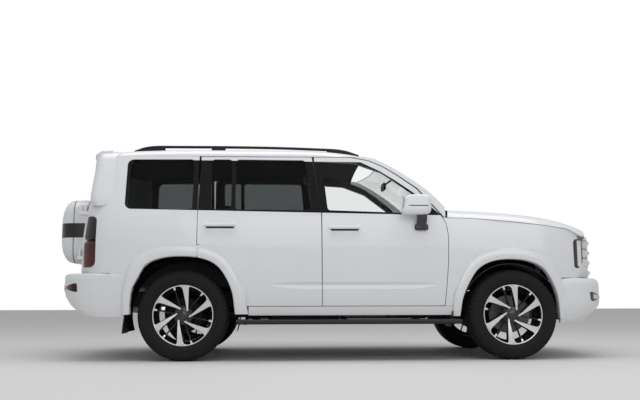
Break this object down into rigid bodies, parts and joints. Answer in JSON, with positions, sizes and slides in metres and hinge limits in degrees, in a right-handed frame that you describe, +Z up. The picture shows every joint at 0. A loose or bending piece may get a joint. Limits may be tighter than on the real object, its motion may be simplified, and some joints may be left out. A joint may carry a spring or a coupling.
{
  "type": "large five-door off-road estate car with a rear-mounted spare wheel",
  "caption": "Tall boxy five-door off-road car on a ladder frame, with opening doors, hood and side-hung tailgate, steered front wheels and a cased spare wheel at the back.",
  "frame": {"origin": "on the ground, midway along the overall length and on the centre plane", "axes": "+X forward, +Y to the car's left, +Z up"},
  "size_m": [5.0703, 2.17, 1.912],
  "materials": {
    "body_paint": "satin",
    "black_trim": "matte",
    "glass": "gloss",
    "tyre_rubber": "matte",
    "rim_metal": "satin",
    "lamp_lens": "gloss",
    "chassis_black": "satin",
    "seat_trim": "matte",
    "brake_metal": "satin"
  },
  "bodies": {
    "body": {"chassis_frame": "chassis_black", "front_bumper": "body_paint", "rear_bumper": "body_paint", "grille": "rim_metal", "headlights": "lamp_lens", "taillights": "lamp_lens", "wings": "body_paint", "quarter_panels": "body_paint", "roof": "body_paint", "pillars": "body_paint", "sills": "body_paint", "side_steps": "black_trim", "roof_rails": "black_trim", "fixed_glass": "glass", "floor_pan": "chassis_black", "bulkhead": "chassis_black", "dashboard": "seat_trim", "steering_wheel": "black_trim", "seats": "seat_trim", "engine": "chassis_black", "front_suspension": "chassis_black", "rear_axle": "chassis_black", "underbody_tanks": "chassis_black", "wheel_liners": "chassis_black"},
    "wheel_front_right": {"tyre_front_right": "tyre_rubber", "rim_front_right": "rim_metal"},
    "wheel_front_left": {"tyre_front_left": "tyre_rubber", "rim_front_left": "rim_metal"},
    "wheel_rear_right": {"tyre_rear_right": "tyre_rubber", "rim_rear_right": "rim_metal"},
    "wheel_rear_left": {"tyre_rear_left": "tyre_rubber", "rim_rear_left": "rim_metal"},
    "knuckle_right": {"knuckle_right": "brake_metal"},
    "front_door_right": {"door_front_right": "body_paint", "glass_front_right": "glass", "mirror_right": "body_paint"},
    "rear_door_right": {"door_rear_right": "body_paint", "glass_rear_right": "glass"},
    "knuckle_left": {"knuckle_left": "brake_metal"},
    "front_door_left": {"door_front_left": "body_paint", "glass_front_left": "glass", "mirror_left": "body_paint"},
    "rear_door_left": {"door_rear_left": "body_paint", "glass_rear_left": "glass"},
    "hood": {"hood": "body_paint"},
    "tailgate": {"tailgate": "body_paint", "tailgate_glass": "glass", "spare_case": "body_paint"}
  },
  "joints": [
    {"name": "spin_front_right", "type": "hinge", "parent": "knuckle_right", "child": "wheel_front_right", "pos_m": [1.57, -0.805, 0.387], "axis": [0, 1, 0], "continuous": true},
    {"name": "spin_front_left", "type": "hinge", "parent": "knuckle_left", "child": "wheel_front_left", "pos_m": [1.57, 0.805, 0.387], "axis": [0, 1, 0], "continuous": true},
    {"name": "spin_rear_right", "type": "hinge", "parent": "body", "child": "wheel_rear_right", "pos_m": [-1.28, -0.805, 0.387], "axis": [0, 1, 0], "continuous": true},
    {"name": "spin_rear_left", "type": "hinge", "parent": "body", "child": "wheel_rear_left", "pos_m": [-1.28, 0.805, 0.387], "axis": [0, 1, 0], "continuous": true},
    {"name": "steer_right", "type": "hinge", "parent": "body", "child": "knuckle_right", "pos_m": [1.57, -0.7, 0.387], "axis": [0, 0, 1], "range_deg": [-33, 33]},
    {"name": "swing_front_door_right", "type": "hinge", "parent": "body", "child": "front_door_right", "pos_m": [1.003, -0.957, 0.8], "axis": [0, 0, 1], "range_deg": [0, 65]},
    {"name": "swing_rear_door_right", "type": "hinge", "parent": "body", "child": "rear_door_right", "pos_m": [-0.08, -0.967, 0.8], "axis": [0, 0, 1], "range_deg": [0, 65]},
    {"name": "steer_left", "type": "hinge", "parent": "body", "child": "knuckle_left", "pos_m": [1.57, 0.7, 0.387], "axis": [0, 0, 1], "range_deg": [-33, 33]},
    {"name": "swing_front_door_left", "type": "hinge", "parent": "body", "child": "front_door_left", "pos_m": [1.003, 0.957, 0.8], "axis": [0, 0, -1], "range_deg": [0, 65]},
    {"name": "swing_rear_door_left", "type": "hinge", "parent": "body", "child": "rear_door_left", "pos_m": [-0.08, 0.967, 0.8], "axis": [0, 0, -1], "range_deg": [0, 65]},
    {"name": "lift_hood", "type": "hinge", "parent": "body", "child": "hood", "pos_m": [1.005, 0, 1.342], "axis": [0, -1, 0], "range_deg": [0, 50]},
    {"name": "swing_tailgate", "type": "hinge", "parent": "body", "child": "tailgate", "pos_m": [-2.205, -0.752, 1], "axis": [0, 0, 1], "range_deg": [0, 85]}
  ],
  "couplings": [
    {"joint": "steer_right", "follows": "steer_left", "ratio": 1}
  ]
}
